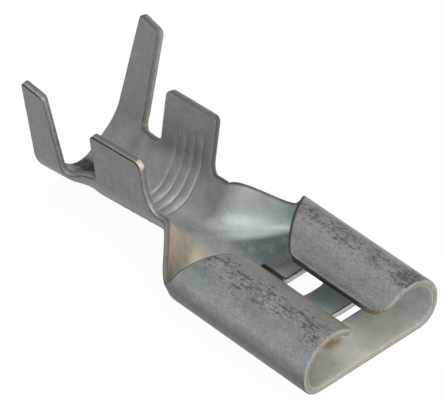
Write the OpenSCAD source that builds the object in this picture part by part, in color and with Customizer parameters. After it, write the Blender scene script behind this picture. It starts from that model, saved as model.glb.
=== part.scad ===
// Female push-on wire terminal, stamped and folded from one strip of plated brass sheet.
// +X points to the mating mouth, +Z is up, and the lowest underside lies on Z = 0.
// The flat blank is described by a distance from the mouth and a distance across the strip,
// and every point of it is carried through the bends of the section at that distance.

/* [Sheet] */
// thickness of the strip
sheet_t = 0.4; // [0.3:0.05:0.5]
// length of the whole strip; the neck takes up what the other lengths leave
strip_len = 17.6; // [17:0.1:19]

/* [Receptacle] */
// width over both rolls
mouth_w = 7.65; // [7:0.05:8.4]
// height over the rolls
roll_h = 2.8; // [2.6:0.02:3]
// radius of the lower bend, on the middle of the sheet
low_bend_r = 0.8; // [0.65:0.05:1]
// turn of the lower bend before the roll begins
low_bend_deg = 74; // [66:1:80]
// how far the roll turns down past its top
curl_deg = 64; // [56:1:70]
// radius of the return bend that flattens the wing's inner edge
foot_r = 0.25; // [0.25:0.05:0.5]
// round of the wing corners at the mouth
mouth_corner_r = 1.1; // [0.6:0.1:1.4]
// how much shorter the wings are at their inner edge than at the notch
wing_slant = 2.75; // [2:0.05:3.4]
// round of the wing corners at the rear
wing_corner_r = 0.3; // [0.1:0.05:0.4]
// sheet kept beside the flat floor at the notch, measured across the flat strip
notch_up = 1.26; // [0.8:0.02:1.5]

/* [Floor] */
// length of the lip between the mouth and the slot
lip_len = 2.25; // [1.8:0.05:2.6]
// width of the slot along the strip
slot_w = 0.3; // [0.2:0.05:0.4]
// length of the bar between the slot and the window
bar_len = 1.85; // [1.5:0.05:2.2]
// length of the window along the strip
window_len = 1.25; // [1:0.05:1.5]
// length of the window and the slot across the strip
window_wide = 3.8; // [3.2:0.1:4.4]
// round of the window's front corners
window_r = 0.5; // [0.2:0.05:0.6]
// length of the narrow relief behind the window
relief_len = 1.3; // [0.8:0.1:1.6]
// width of the narrow relief behind the window
relief_w = 1.3; // [0.8:0.1:1.6]
// length of the floor between the relief and the notch
floor_rest = 1.25; // [1:0.05:1.8]
// height of the detent on the bar
detent_h = 0.28; // [0.1:0.02:0.34]
// half the length of the detent along the strip
detent_long = 1.25; // [1:0.05:1.4]
// half the length of the detent across the strip
detent_wide = 1.3; // [1:0.05:1.6]

/* [Neck] */
// how far ahead of the notch the floor begins to dish
neck_lead = 0.4; // [0:0.05:1.2]
// length of the finished barrel ahead of the wire wings
neck_rest = 0.35; // [0.1:0.05:0.8]
// sheet kept at each side of the neck's end, measured across the flat strip
barrel_half = 2.35; // [2.1:0.05:2.6]
// height to which the neck rises above the floor's underside
neck_rise = 0.35; // [0:0.05:0.6]
// slope of the barrels behind the neck, down towards the rear
tail_deg = 7; // [4:0.5:10]
// length of the bend in which that slope begins
tail_bend = 1; // [0.5:0.1:1.5]

/* [Wire barrel] */
// width of the wire wings along the strip
wire_len = 3.05; // [2.6:0.05:3.4]
// radius of the barrel's bottom, on the middle of the sheet
wire_r = 1.45; // [1.2:0.05:1.7]
// half the flat strip at the barrel's bottom
wire_flat = 0.05; // [0.05:0.05:0.4]
// slope of the barrel's sides beside its bottom
wire_slope = 58; // [50:1:66]
// length of the sloping sides, measured across the flat strip
wire_side = 0.5; // [0.1:0.05:0.8]
// radius of the bend at the foot of the wire wings, on the middle of the sheet
wire_bend_r = 1.9; // [1.4:0.1:2.4]
// outward lean of the wire wings
wire_lean = 8; // [2:1:10]
// length of the wire wings beyond the barrel's side, measured across the flat strip
wire_wing_h = 2.9; // [2.4:0.05:3.6]
// how much longer the wire wings are at their rear end, measured across the flat strip
wire_lift = 0.15; // [0:0.05:0.4]
// round of the wire wings' corners
wire_corner_r = 0.3; // [0.1:0.05:0.45]
// how far the foot of the wire wings runs out over the neck
flare_len = 0.65; // [0.4:0.05:0.8]
// height up the wire wings at which that run begins, measured across the flat strip
flare_up = 1.5; // [1:0.1:2]
// depth of the serration grooves inside the wire barrel
groove_depth = 0.06; // [0.02:0.01:0.1]
// width of one serration groove
groove_w = 0.14; // [0.08:0.02:0.2]
// sheet left plain above the grooves, measured across the flat strip
groove_stop = 1; // [0.5:0.1:1.6]
// distance between serration grooves
groove_pitch = 0.52; // [0.4:0.02:0.56]
// how far the grooves lie ahead of the wings' middle
groove_ahead = 0.2; // [0:0.05:0.25]

/* [Insulation barrel] */
// length of the gap between the wire wings and the insulation wings
gap_len = 1.6; // [1.3:0.05:2.2]
// sheet kept at each side of the gap, measured across the flat strip
gap_half = 2.7; // [2.4:0.05:3]
// length of the wire barrel that goes on behind the wire wings
gap_rest = 0.3; // [0:0.05:0.6]
// length of the insulation wings that the change of section takes up
grip_lead = 0.1; // [0:0.05:0.15]
// width of the insulation wings along the strip
grip_len = 1.7; // [1.4:0.05:2.1]
// width that each insulation wing loses towards its tip, at the rear
grip_taper = 0.45; // [0.2:0.05:0.7]
// radius of the barrel's bottom, on the middle of the sheet
grip_r = 1.1; // [0.8:0.05:1.3]
// half the flat strip at the barrel's bottom
grip_flat = 0.05; // [0.05:0.05:0.3]
// slope of the barrel's sides beside its bottom
grip_slope = 38; // [30:1:46]
// length of the sloping sides, measured across the flat strip
grip_side = 1.2; // [0.9:0.05:1.4]
// radius of the bend at the foot of the insulation wings, on the middle of the sheet
grip_bend_r = 2; // [1.4:0.1:2.4]
// outward lean of the insulation wings
grip_lean = 12; // [6:1:18]
// length of the insulation wings beyond the barrel's side, measured across the flat strip
grip_wing_h = 5.05; // [4.4:0.1:6.4]
// round of the insulation wings' corners
grip_corner_r = 0.2; // [0.2:0.05:0.55]
// round at the foot of the wings, beside the gap
wing_fillet = 0.4; // [0.2:0.05:0.45]

/* [Hidden] */
steel_tint = [0.72, 0.73, 0.72];
groove_count = 4;
// distances from the mouth: one length after another, and for the barrels back from the rear end
slot_at = lip_len;
window_at = slot_at + slot_w + bar_len;
window_end = window_at + window_len;
relief_end = window_end + relief_len;
wing_len_out = relief_end + floor_rest;
wing_len_in = wing_len_out - wing_slant;
grip_at = strip_len - grip_len;
wire_end = grip_at - gap_len;
wire_at = wire_end - wire_len;
mouth_x = (strip_len + sheet_t / 2 * sin(tail_deg)) / 2;
// stretch in which the floor turns into the wire barrel
neck_from = wing_len_out - neck_lead;
neck_to = wire_at - flare_len - neck_rest;
// height of the floor's underside above the rear end's, which is the lowest place
tail_len = strip_len - neck_to - tail_bend / 2;
floor_up = max(0, tail_len * tan(tail_deg) - neck_rise);
// radius of the roll, from the height that is left above the lower bend
roll_r = (roll_h - sheet_t - low_bend_r * (1 - cos(low_bend_deg))) / (1 + cos(low_bend_deg));
// half the flat floor, from the width that the bends leave
floor_half = mouth_w / 2 - sheet_t / 2 - low_bend_r * sin(low_bend_deg) - roll_r * (1 - sin(low_bend_deg));
notch_half = floor_half + notch_up;
roll_turn = 180 - low_bend_deg + curl_deg;
// half width of the flat strip at the wings' inner edges and tips
wing_half = floor_half + arc_len(low_bend_r, low_bend_deg)
    + arc_len(roll_r, roll_turn) + arc_len(foot_r, curl_deg);
wire_half = barrel_half + wire_wing_h;
groove_half = wire_half - groove_stop;
grip_half = gap_half + grip_wing_h;
// number of steps up the sides, along the pieces and round the corners
side_steps = 8;
wing_steps = 12;
corner_steps = 5;
detent_steps = 6;
step = 0.01;

function arc_len(radius, turn) = radius * turn * PI / 180;
// neighbouring patches meet on equal numbers
function snap(value) = round(value * 1e5) / 1e5;
function mix(a, b, part) = a + (b - a) * part;
function ease(from, to, at) =
    let (part = min(1, max(0, (at - from) / (to - from))))
    part * part * (3 - 2 * part);
// blend of the three sections: receptacle, wire barrel and insulation barrel
function three(at, a, b, c) =
    mix(mix(a, b, ease(neck_from, neck_to, at)), c, ease(wire_end + gap_rest, grip_at + grip_lead, at));

function flat_half(at) = three(at, floor_half, wire_flat, grip_flat);
function tail_ramp(past) =
    past <= 0 ? 0 : past < tail_bend ? past * past / (2 * tail_bend) : past - tail_bend / 2;
function rise(at) =
    floor_up + neck_rise * ease(neck_from, neck_to, at) - tail_ramp(at - neck_to) * tan(tail_deg);
function first_r(at) = three(at, low_bend_r, wire_r, grip_r);
function first_turn(at) = three(at, low_bend_deg, wire_slope, grip_slope);
function side_run(at) = three(at, 0, wire_side, grip_side);
function second_r(at) = three(at, roll_r, wire_bend_r, grip_bend_r);
function second_turn(at) =
    three(at, roll_turn, 90 - wire_lean - wire_slope, 90 - grip_lean - grip_slope);
function return_turn(at) = three(at, curl_deg, 0.01, 0.01);

// one arc of the section, from a start point and heading
function along_arc(from, radius, turn) =
    let (side = turn < 0 ? -1 : 1)
    let (heading = from[2])
    [from[0] + side * radius * (sin(heading + turn) - sin(heading)),
     from[1] + side * radius * (cos(heading) - cos(heading + turn)),
     heading + turn];
function along_line(from, run) =
    [from[0] + run * cos(from[2]), from[1] + run * sin(from[2]), from[2]];

// place on the middle of the sheet: sideways, up and heading, for a distance across the strip
function section(at, across) =
    let (flat = flat_half(at), r1 = first_r(at), r2 = second_r(at), run = side_run(at))
    let (turn1 = first_turn(at), turn2 = second_turn(at), turn3 = return_turn(at))
    let (upto1 = flat + arc_len(r1, turn1), upto2 = upto1 + run)
    let (upto3 = upto2 + arc_len(r2, turn2), upto4 = upto3 + arc_len(foot_r, turn3))
    let (end0 = [flat, 0, 0], end1 = along_arc(end0, r1, turn1), end2 = along_line(end1, run))
    let (end3 = along_arc(end2, r2, turn2), end4 = along_arc(end3, foot_r, -turn3))
    across <= flat ? [across, 0, 0] :
    across <= upto1 ? along_arc(end0, r1, (across - flat) / r1 * 180 / PI) :
    across <= upto2 ? along_line(end1, across - upto1) :
    across <= upto3 ? along_arc(end2, r2, (across - upto2) / r2 * 180 / PI) :
    across <= upto4 ? along_arc(end3, foot_r, -(across - upto3) / foot_r * 180 / PI) :
    along_line(end4, across - upto4);

function detent(at, across) =
    let (middle = (slot_at + slot_w + window_at) / 2)
    let (away = norm([(at - middle) / detent_long, across / detent_wide]))
    away >= 1 ? 0 : detent_h * pow(cos(90 * away), 2);
function groove(at, across) =
    let (middle = groove_middle)
    let (order = round((at - middle) / groove_pitch + (groove_count - 1) / 2))
    let (kept = min(groove_count - 1, max(0, order)))
    let (away = abs(at - middle - (kept - (groove_count - 1) / 2) * groove_pitch))
    groove_depth * max(0, 1 - away / (groove_w / 2)) * (1 - ease(groove_half - 0.4, groove_half, across));

// a point of the inner face (side 1) or the outer face (side -1) of the folded sheet
function folded(spot, side) =
    let (at = spot[0], across = abs(spot[1]), hand = spot[1] < 0 ? -1 : 1)
    let (here = section(at, across))
    let (fore = section(at - step, across), aft = section(at + step, across))
    let (up_fore = fore[1] + rise(at - step) + detent(at - step, across))
    let (up_aft = aft[1] + rise(at + step) + detent(at + step, across))
    let (drift_y = (aft[0] - fore[0]) / (2 * step), drift_z = (up_aft - up_fore) / (2 * step))
    let (slope_s = (detent(at, across + step) - detent(at, across - step)) / (2 * step))
    let (turn = here[2] + atan(slope_s))
    let (lean = -sin(turn) * drift_y + cos(turn) * drift_z)
    let (normal = [lean, -sin(turn), cos(turn)] / norm([lean, 1]))
    let (reach = side > 0 ? sheet_t / 2 - groove(at, across) : -sheet_t / 2)
    let (middle = [mouth_x - at, here[0], sheet_t / 2 + here[1] + rise(at) + detent(at, across)])
    let (found = middle + normal * reach)
    [snap(found[0]), hand * snap(found[1]), snap(found[2])];

// outline of the flat strip
groove_middle = wire_at + wire_len / 2 - groove_ahead;
function base_half(at) =
    let (narrow = min(1, max(0, (at - wing_len_out) / (neck_to - wing_len_out))))
    mix(mix(notch_half, barrel_half, narrow), gap_half, min(1, max(0, (at - wire_at) / wire_len)));
// rows of the flat floor: the edge of the relief, the window's rounded corner and the window's end have a row
floor_rows = concat(
    [for (part = [0:2]) relief_w / 2 * part / 2],
    [for (part = [1:2]) mix(relief_w / 2, window_wide / 2 - window_r, part / 2)],
    [for (turn = [30:30:90]) window_wide / 2 - window_r * (1 - sin(turn))],
    [floor_half]);
floor_steps = len(floor_rows) - 1;
relief_row = 2;
window_row = floor_steps - 1;
function base_row(at, row) =
    let (flat = flat_half(at), size = abs(row))
    let (hand = row < 0 ? -1 : 1)
    hand * (size <= floor_steps ? flat * floor_rows[size] / floor_half :
        mix(flat, base_half(at), (size - floor_steps) / side_steps));
rows = [for (row = [-floor_steps - side_steps:floor_steps + side_steps]) row];
// how much a rounded corner takes from an edge, for a distance below the corner's end
function corner_cut(radius, below) =
    below >= radius ? 0 : radius - sqrt(max(0, radius * radius - pow(radius - below, 2)));

// edges of the receptacle: the wings' round corners at the mouth, and their slanted rear
function wing_front(across) = corner_cut(mouth_corner_r, wing_half - across);
function wing_rear(across) =
    let (part = (across - notch_half) / (wing_half - notch_half))
    mix(wing_len_out, wing_len_in, max(0, part)) - corner_cut(wing_corner_r, wing_half - across);
// stations of the receptacle's floor; on the wings they keep their share of the row's length
floor_stations = concat([0, lip_len / 2],
    [slot_at], [for (part = [0:detent_steps]) mix(slot_at + slot_w, window_at, part / detent_steps)],
    [for (part = [1:3]) mix(window_at, window_end, part / 3)],
    [for (part = [1:2]) mix(window_end, relief_end, part / 2)],
    [for (part = [1:3]) mix(relief_end, wing_len_out, part / 3)]);
function receptacle_stations(across) =
    [for (at = floor_stations) mix(wing_front(across), wing_rear(across), at / wing_len_out)];
// the stations that cross the window draw back at its rounded corners
function drawn_back(at, across) =
    let (below = window_wide / 2 - abs(across))
    let (cut = below < -0.001 ? 0 : corner_cut(window_r, below))
    at < window_at - 0.001 || at > window_end ? at : window_end - (window_end - at) * (1 - cut / window_len);
// openings of the floor, as ranges of rows and stations that the patch leaves out
middle_row = floor_steps + side_steps;
slot_order = 2;
window_order = slot_order + 1 + detent_steps;
floor_openings = [
    [middle_row - window_row, middle_row + window_row, slot_order, slot_order + 1],
    [middle_row - window_row, middle_row + window_row, window_order, window_order + 3],
    [middle_row - relief_row, middle_row + relief_row, window_order + 3, window_order + 5]];
wing_rows = concat(
    [for (part = [0:wing_steps]) mix(notch_half, wing_half - mouth_corner_r, part / wing_steps)],
    [for (part = [1:corner_steps]) wing_half - mouth_corner_r * (1 - sin(90 * part / corner_steps))]);

// rows of the wire wings, between the barrel's side and the tip, which both rise towards the rear
function wire_height(at, across) =
    let (part = min(1, max(0, (at - wire_at) / wire_len)))
    mix(base_half(at), wire_half + part * wire_lift, (across - barrel_half) / wire_wing_h);
// stations of a barrel wing: its edges follow the fillet and the tip, the ones between are fixed
function wing_edge(across, foot, top, corner_r) =
    corner_cut(corner_r, top - across) - corner_cut(wing_fillet, across - foot);
function flare_edge(across) =
    corner_cut(wire_corner_r, wire_half - across)
    - flare_len / flare_up * corner_cut(flare_up, across - barrel_half);
function wing_rows_of(foot, top, corner_r, fillets) = concat(
    [for (part = [0:corner_steps]) foot + fillets[0] * (1 - cos(90 * part / corner_steps))],
    [for (k = [1:len(fillets) - 1]) for (part = [1:3]) foot + mix(fillets[k - 1], fillets[k], part / 3)],
    [for (part = [1:4]) mix(foot + fillets[len(fillets) - 1], top - corner_r, part / 4)],
    [for (part = [1:corner_steps]) top - corner_r * (1 - sin(90 * part / corner_steps))]);
groove_stations = [for (order = [0:groove_count - 1]) for (side = [-1, 0, 1])
    groove_middle + (order - (groove_count - 1) / 2) * groove_pitch + side * groove_w / 2];

neck_stations = [for (part = [0:11]) mix(wing_len_out, wire_at - flare_len, part / 11)];
gap_stations = [for (part = [0:8]) mix(wire_end + wing_fillet, grip_at - wing_fillet, part / 8)];

function base_patch(stations) = [for (row = rows) [for (at = stations) [at, base_row(at, row)]]];
function mirrored(patch) =
    [for (row = [len(patch) - 1:-1:0]) [for (spot = patch[row]) [spot[0], -spot[1]]]];

function is_open(openings, row, order) =
    len([for (range = openings)
        if (row >= range[0] && row < range[1] && order >= range[2] && order < range[3]) 1]) > 0;

// triangles of one patch: its two faces, the edges that are free and the walls of its openings
function quad(a, b, c, d) = [[a, b, c], [a, c, d]];
function patch_faces(patch, open_fore, open_aft, open_low, open_high, openings = []) =
    let (last = len(patch) - 1, end = len(patch[0]) - 1)
    let (inner = [for (row = patch) [for (spot = row) folded(spot, 1)]])
    let (outer = [for (row = patch) [for (spot = row) folded(spot, -1)]])
    concat(
        [for (j = [0:last - 1]) for (i = [0:end - 1]) if (!is_open(openings, j, i))
            each concat(
                quad(inner[j][i], inner[j][i + 1], inner[j + 1][i + 1], inner[j + 1][i]),
                quad(outer[j][i], outer[j + 1][i], outer[j + 1][i + 1], outer[j][i + 1]))],
        [for (j = [0:last - 1]) for (i = [0:end - 1]) if (is_open(openings, j, i))
            each concat(
                is_open(openings, j, i - 1) ? [] :
                    quad(outer[j][i], outer[j + 1][i], inner[j + 1][i], inner[j][i]),
                is_open(openings, j, i + 1) ? [] :
                    quad(outer[j][i + 1], inner[j][i + 1], inner[j + 1][i + 1], outer[j + 1][i + 1]),
                is_open(openings, j - 1, i) ? [] :
                    quad(outer[j][i], inner[j][i], inner[j][i + 1], outer[j][i + 1]),
                is_open(openings, j + 1, i) ? [] :
                    quad(outer[j + 1][i], outer[j + 1][i + 1], inner[j + 1][i + 1], inner[j + 1][i]))],
        open_fore ? [for (j = [0:last - 1])
            each quad(outer[j][0], inner[j][0], inner[j + 1][0], outer[j + 1][0])] : [],
        open_aft ? [for (j = [0:last - 1])
            each quad(outer[j][end], outer[j + 1][end], inner[j + 1][end], inner[j][end])] : [],
        open_low ? [for (i = [0:end - 1])
            each quad(outer[0][i], outer[0][i + 1], inner[0][i + 1], inner[0][i])] : [],
        open_high ? [for (i = [0:end - 1])
            each quad(outer[last][i], inner[last][i], inner[last][i + 1], outer[last][i + 1])] : []);

receptacle_wing = [for (across = wing_rows) [for (at = receptacle_stations(across)) [at, across]]];
receptacle_base = [for (row = base_patch(floor_stations))
    [for (spot = row) [drawn_back(spot[0], spot[1]), spot[1]]]];
neck_base = base_patch(neck_stations);
wire_stations = concat(
    [wire_at - flare_len, (wire_at + groove_stations[0]) / 2], groove_stations,
    [(wire_end + groove_stations[len(groove_stations) - 1]) / 2, wire_end + wing_fillet]);
wire_base = base_patch(wire_stations);
gap_base = base_patch(gap_stations);
grip_shares = [0, 0.08, 0.16, 0.25, 0.4, 0.7, 1];
grip_base = base_patch([for (share = grip_shares) mix(grip_at - wing_fillet, strip_len, share)]);
wire_wing = [for (across = wing_rows_of(barrel_half, wire_half, wire_corner_r, [wing_fillet, flare_up]))
    let (fore = wire_at + flare_edge(across))
    let (aft = wire_end - wing_edge(across, barrel_half, wire_half, wire_corner_r))
    [for (order = [0:len(wire_stations) - 1])
        let (share = (wire_stations[order] - wire_at) / wire_len)
        let (at = order == 0 ? fore :
            order == len(wire_stations) - 1 ? aft : mix(max(wire_at, fore), min(wire_end, aft), share))
        [at, wire_height(at, across)]]];
grip_wing = [for (across = wing_rows_of(gap_half, grip_half, grip_corner_r, [wing_fillet]))
    let (fore = grip_at + wing_edge(across, gap_half, grip_half, grip_corner_r))
    let (taper = grip_taper * (across - gap_half) / grip_wing_h)
    let (aft = strip_len - taper - corner_cut(grip_corner_r, grip_half - across))
    [for (share = grip_shares) [mix(fore, aft, share), across]]];

sheet_faces = concat(
    patch_faces(receptacle_base, true, false, false, false, floor_openings),
    patch_faces(receptacle_wing, true, true, false, true),
    patch_faces(mirrored(receptacle_wing), true, true, true, false),
    patch_faces(neck_base, false, false, true, true),
    patch_faces(wire_base, false, false, false, false),
    patch_faces(wire_wing, true, true, false, true),
    patch_faces(mirrored(wire_wing), true, true, true, false),
    patch_faces(gap_base, false, false, true, true),
    patch_faces(grip_base, false, true, false, false),
    patch_faces(grip_wing, true, true, false, true),
    patch_faces(mirrored(grip_wing), true, true, true, false));

module terminal() {
    color(steel_tint)
        polyhedron(points = [for (face = sheet_faces) each face],
            faces = [for (k = [0:len(sheet_faces) - 1]) [3 * k, 3 * k + 1, 3 * k + 2]]);
}

terminal();
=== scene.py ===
# %% [markdown]
# A push-on wire terminal.
# The real part is one strip of thin brass sheet with a tin finish. A press stamps its flat outline, then
# folds it: two rolls at the front grip a flat tab, and the wings at the rear close on a stripped wire.
# This file works in the same order. It draws the flat blank, gives it thickness and soft sheared edges,
# folds it with Geometry Nodes, and then adds the finish, the light and the camera.
# The frame holds the CAD part that this piece stands for, and gives the box that it has to fill.

# %% Load the frame
import math
from types import SimpleNamespace

import bmesh
import bpy
from mathutils import Matrix, Vector


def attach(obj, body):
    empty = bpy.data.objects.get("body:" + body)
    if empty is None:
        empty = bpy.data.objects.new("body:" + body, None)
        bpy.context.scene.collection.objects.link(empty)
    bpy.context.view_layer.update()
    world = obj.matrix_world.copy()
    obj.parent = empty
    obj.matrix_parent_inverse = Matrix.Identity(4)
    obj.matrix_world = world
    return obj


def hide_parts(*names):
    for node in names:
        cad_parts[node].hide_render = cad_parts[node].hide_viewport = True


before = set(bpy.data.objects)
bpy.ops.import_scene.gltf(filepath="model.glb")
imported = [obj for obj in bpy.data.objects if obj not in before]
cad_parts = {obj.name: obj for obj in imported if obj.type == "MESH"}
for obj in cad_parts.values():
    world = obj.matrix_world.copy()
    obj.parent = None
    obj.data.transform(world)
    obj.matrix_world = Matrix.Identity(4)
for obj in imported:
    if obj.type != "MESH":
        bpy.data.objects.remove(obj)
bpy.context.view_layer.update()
MM = 0.001
print("nodes of the frame:", list(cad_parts))

# %% [markdown]
# Node trees can be drawn by hand in the editor, but long sums are hard to read there. Here one small class
# wraps a socket, and Python's own operators add the Math nodes. The same class serves the folding tree and
# the materials, because both kinds of tree use the same Math node.


# %% Wires between nodes
class Wire:
    """One socket of a node tree. Arithmetic on wires adds the Math nodes that it needs."""

    def __init__(self, tree, socket=None):
        self.tree = tree
        self.socket = socket

    def node(self, kind, settings=None, inputs=None, output=0):
        """Adds a node: its settings first, then the values or wires of its sockets."""
        made = self.tree.nodes.new(kind)
        for name, value in (settings or {}).items():
            if name == "stops":
                set_stops(made.color_ramp, value)
            else:
                setattr(made, name, value)
        for name, value in (inputs or {}).items():
            if isinstance(value, Wire):
                self.tree.links.new(value.socket, made.inputs[name])
            else:
                made.inputs[name].default_value = value
        return Wire(self.tree, made.outputs[output])

    def math(self, operation, first, second=0.0, clamp=False):
        settings = {"operation": operation, "use_clamp": clamp}
        return self.node("ShaderNodeMath", settings, {0: first, 1: second})

    def split(self, vector):
        """The three coordinates of a vector."""
        return [self.node("ShaderNodeSeparateXYZ", inputs={0: vector}, output=axis) for axis in range(3)]

    def __add__(self, other):
        return self.math("ADD", self, other)

    def __sub__(self, other):
        return self.math("SUBTRACT", self, other)

    def __rsub__(self, other):
        return self.math("SUBTRACT", other, self)

    def __mul__(self, other):
        return self.math("MULTIPLY", self, other)

    def __truediv__(self, other):
        return self.math("DIVIDE", self, other)

    def __rtruediv__(self, other):
        return self.math("DIVIDE", other, self)

    __radd__ = __add__
    __rmul__ = __mul__


def empty_tree(owner):
    """Clears the node tree of a material or of the world, ready for wires."""
    owner.use_nodes = True
    owner.node_tree.nodes.clear()
    return Wire(owner.node_tree)


def set_stops(ramp, stops):
    """Gives a colour ramp its stops, as pairs of a place and a colour."""
    while len(ramp.elements) < len(stops):
        ramp.elements.new(1.0)
    for element, (place, colour) in zip(ramp.elements, stops):
        element.position = place
        element.color = (*colour, 1.0)


number_first = [name for name in vars(Wire) if name.startswith("__r")]
print("sums of a wire that also take a number first:", number_first)

# %% [markdown]
# A rule such as "the floor turns softly into the barrel" is needed twice: with plain numbers for the blank,
# and with wires for the fold. These helpers take either, so each rule is written once.


# %% Sums for numbers and wires
def part_of(value):
    """The value held between 0 and 1."""
    if isinstance(value, Wire):
        return value.math("ADD", value, 0.0, clamp=True)
    return min(1.0, max(0.0, value))


def smaller(a, b):
    if isinstance(a, Wire):
        return a.math("MINIMUM", a, b)
    return min(a, b)


def larger(a, b):
    if isinstance(a, Wire):
        return a.math("MAXIMUM", a, b)
    return max(a, b)


def sine(angle):
    return angle.math("SINE", angle)


def cosine(angle):
    return angle.math("COSINE", angle)


def blend(a, b, part):
    return a + (b - a) * part


def ease(start, end, at):
    """0 before start, 1 after end, and a soft step between them."""
    part = part_of((at - start) / (end - start))
    return part * part * (3.0 - part * 2.0)


print("a soft step at a quarter of its way:", ease(0.0, 1.0, 0.25))

# %% [markdown]
# The sizes are those of the CAD part, in millimetres, in the order in which they lie along the strip.
# They could be measured on its mesh, but a folded sheet is made from lengths and bends, so these are
# written here. Everything else follows: a length along the strip starts where the last one ended.

# %% Sizes of the CAD part
size = SimpleNamespace(
    sheet_t=0.4, strip_len=17.6,
    mouth_w=7.65, roll_h=2.8, low_bend_r=0.8, low_bend_deg=74, curl_deg=64, foot_r=0.25,
    mouth_corner_r=1.1, wing_slant=2.75, wing_corner_r=0.3, notch_up=1.26,
    lip_len=2.25, slot_w=0.3, bar_len=1.85, window_len=1.25, window_wide=3.8, window_r=0.5,
    relief_len=1.3, floor_rest=1.25, detent_h=0.28, detent_long=1.25, detent_wide=1.3,
    neck_lead=0.4, neck_rest=0.35, barrel_half=2.35, neck_rise=0.35, tail_deg=7, tail_bend=1,
    wire_len=3.05, wire_r=1.45, wire_flat=0.05, wire_slope=58, wire_side=0.5, wire_bend_r=1.9, wire_lean=8,
    wire_wing_h=2.9, wire_lift=0.15, wire_corner_r=0.3, flare_len=0.65, flare_up=1.5,
    groove_depth=0.06, groove_w=0.14, groove_stop=1, groove_pitch=0.52, groove_ahead=0.2,
    gap_len=1.6, gap_half=2.7, gap_rest=0.3, grip_lead=0.1, grip_len=1.7, grip_taper=0.45, grip_r=1.1,
    grip_flat=0.05, grip_slope=38, grip_side=1.2, grip_bend_r=2, grip_lean=12, grip_wing_h=5.05,
    grip_corner_r=0.2, wing_fillet=0.4)
GROOVES = 4
print("named sizes:", len(vars(size)))

# %% Places along the strip
slot_at = size.lip_len
window_at = slot_at + size.slot_w + size.bar_len
window_end = window_at + size.window_len
relief_end = window_end + size.relief_len
wing_len_out = relief_end + size.floor_rest
grip_at = size.strip_len - size.grip_len
wire_end = grip_at - size.gap_len
wire_at = wire_end - size.wire_len
mouth_x = (size.strip_len + size.sheet_t / 2 * math.sin(math.radians(size.tail_deg))) / 2
neck_from = wing_len_out - size.neck_lead
neck_to = wire_at - size.flare_len - size.neck_rest
tail_slope = math.tan(math.radians(size.tail_deg))
floor_up = max(0, (size.strip_len - neck_to - size.tail_bend / 2) * tail_slope - size.neck_rise)
groove_middle = wire_at + size.wire_len / 2 - size.groove_ahead
groove_orders = [order - (GROOVES - 1) / 2 for order in range(GROOVES)]
groove_places = [groove_middle + order * size.groove_pitch for order in groove_orders]
print("window, wire barrel and insulation barrel start at, in mm:", window_at, round(wire_at, 2), grip_at)


# %% Half widths of the blank
def arc_len(radius, degrees):
    return radius * math.radians(degrees)


low_sine = math.sin(math.radians(size.low_bend_deg))
low_cosine = math.cos(math.radians(size.low_bend_deg))
roll_r = (size.roll_h - size.sheet_t - size.low_bend_r * (1 - low_cosine)) / (1 + low_cosine)
roll_deg = 180 - size.low_bend_deg + size.curl_deg
floor_half = size.mouth_w / 2 - size.sheet_t / 2 - size.low_bend_r * low_sine - roll_r * (1 - low_sine)
notch_half = floor_half + size.notch_up
wing_half = (floor_half + arc_len(size.low_bend_r, size.low_bend_deg)
             + arc_len(roll_r, roll_deg) + arc_len(size.foot_r, size.curl_deg))
wire_half = size.barrel_half + size.wire_wing_h
grip_half = size.gap_half + size.grip_wing_h
print("roll radius and half widths of the blank in mm:", round(roll_r, 2), round(wing_half, 2), grip_half)

# %% [markdown]
# The blank is what the press cuts from the strip, still flat. A grid of quads whose lines run along and
# across the strip folds cleanly, so the outline is laid out as such grids, side by side, with matching
# points where two of them meet: the floor, the neck, the barrels, and a wing on either side of each.
# A few sizes follow the photograph a little more closely than the CAD part does: the sheet is thinner, the
# cross slot, the relief and the narrowest place of the neck are wider, and the insulation wings end aslant.

# %% Sizes that follow the photograph
SLOT_OPEN = 0.52
RELIEF_OPEN = 1.36
SHEET_SEEN = 0.33
GRIP_SLANT = 0.4
GRIP_EXTRA = 0.1
FAR = 1
NEAR = -1
NECK_WIDER = {FAR: 0.14, NEAR: 0.2}
neck_half = {hand: size.barrel_half + wider for hand, wider in NECK_WIDER.items()}
print("half width of the neck on its far and near side in mm:", list(neck_half.values()))


# %% Rows across the strip
def spread(start, end, steps):
    """Evenly spaced values after start, up to end."""
    return [blend(start, end, step / steps) for step in range(1, steps + 1)]


def base_half(at, hand):
    """Half width of the strip itself on one hand, without its wings."""
    narrow = blend(notch_half, neck_half[hand], part_of((at - wing_len_out) / (neck_to - wing_len_out)))
    return blend(narrow, size.gap_half, part_of((at - wire_at) / size.wire_len))


window_half = size.window_wide / 2
relief_half = RELIEF_OPEN / 2
floor_rows = [0.0] + spread(0, relief_half, 4) + spread(relief_half, window_half - size.window_r, 5)
relief_row = 4
floor_rows += spread(window_half - size.window_r, window_half, 4)
window_row = len(floor_rows) - 1
floor_rows += spread(window_half, floor_half, 5) + spread(floor_half, notch_half, 7)
row_shares = [across / notch_half for across in floor_rows]
row_shares = [-share for share in reversed(row_shares[1:])] + row_shares
middle_row = len(floor_rows) - 1
print("rows across the strip:", len(row_shares))

# %% Stations along the strip
floor_stations = [0.0] + spread(0, slot_at, 14)
slot_order = len(floor_stations) - 1
floor_stations += [slot_at + SLOT_OPEN] + spread(slot_at + SLOT_OPEN, window_at, 15)
window_order = len(floor_stations) - 1
floor_stations += spread(window_at, window_end, 8)
relief_order = len(floor_stations) - 1
floor_stations += spread(window_end, relief_end, 6)
relief_last = len(floor_stations) - 1
floor_stations += spread(relief_end, wing_len_out, 10)

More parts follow.
